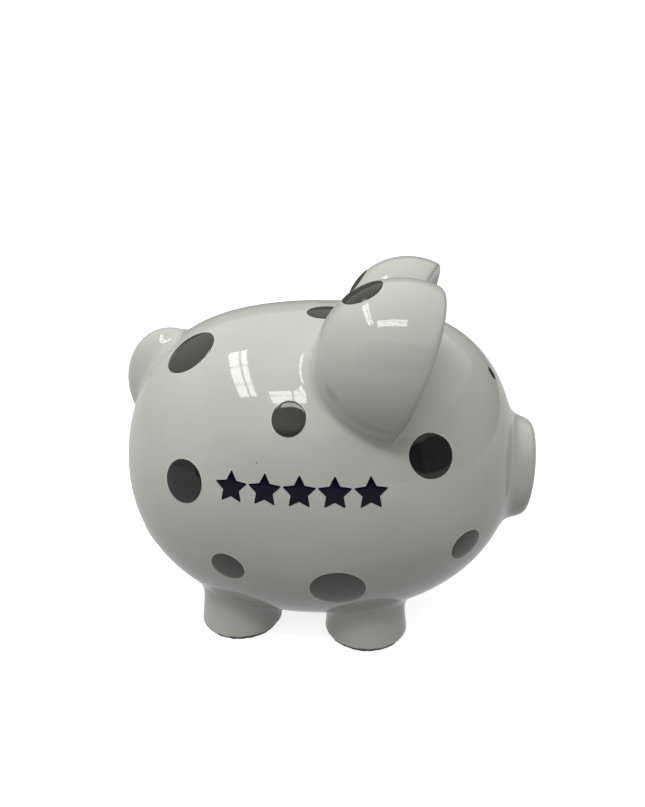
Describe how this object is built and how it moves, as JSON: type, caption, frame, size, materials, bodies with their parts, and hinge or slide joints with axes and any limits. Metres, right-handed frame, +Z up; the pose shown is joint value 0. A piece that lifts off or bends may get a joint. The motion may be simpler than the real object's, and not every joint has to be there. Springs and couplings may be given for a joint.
{
  "type": "piggy bank",
  "caption": "Pig-shaped money bank: a hollow glazed ceramic body with a coin slot in its back, scoop ears, drum snout, short padded legs and a pull-out rubber belly plug.",
  "frame": {"origin": "on the surface the bank stands on, under the middle of its bounding box", "axes": "+X the way the pig faces, +Y its left side, +Z up"},
  "size_m": [0.2448, 0.1928, 0.211],
  "materials": {
    "white_glaze": "glossy clear glaze over white earthenware, with thin raised grey and charcoal dots",
    "grey_felt": "matt pressed felt with a slightly ragged edge",
    "plug_rubber": "satin moulded translucent white rubber",
    "navy_vinyl": "cut self-adhesive vinyl film, semi-gloss"
  },
  "bodies": {
    "bank": {"body_shell": "white_glaze", "snout": "white_glaze", "ear_left": "white_glaze", "ear_right": "white_glaze", "tail": "white_glaze", "leg_front_left": "white_glaze", "leg_front_right": "white_glaze", "leg_rear_left": "white_glaze", "leg_rear_right": "white_glaze", "foot_pad_front_left": "grey_felt", "foot_pad_front_right": "grey_felt", "foot_pad_rear_left": "grey_felt", "foot_pad_rear_right": "grey_felt", "decal_star_1": "navy_vinyl", "decal_star_2": "navy_vinyl", "decal_star_3": "navy_vinyl", "decal_star_4": "navy_vinyl", "decal_star_5": "navy_vinyl"},
    "stopper": {"belly_stopper": "plug_rubber"}
  },
  "joints": [
    {"name": "stopper_pull", "type": "slide", "parent": "bank", "child": "stopper", "axis": [0, 0, -1], "range_m": [0, 0.0095]}
  ]
}
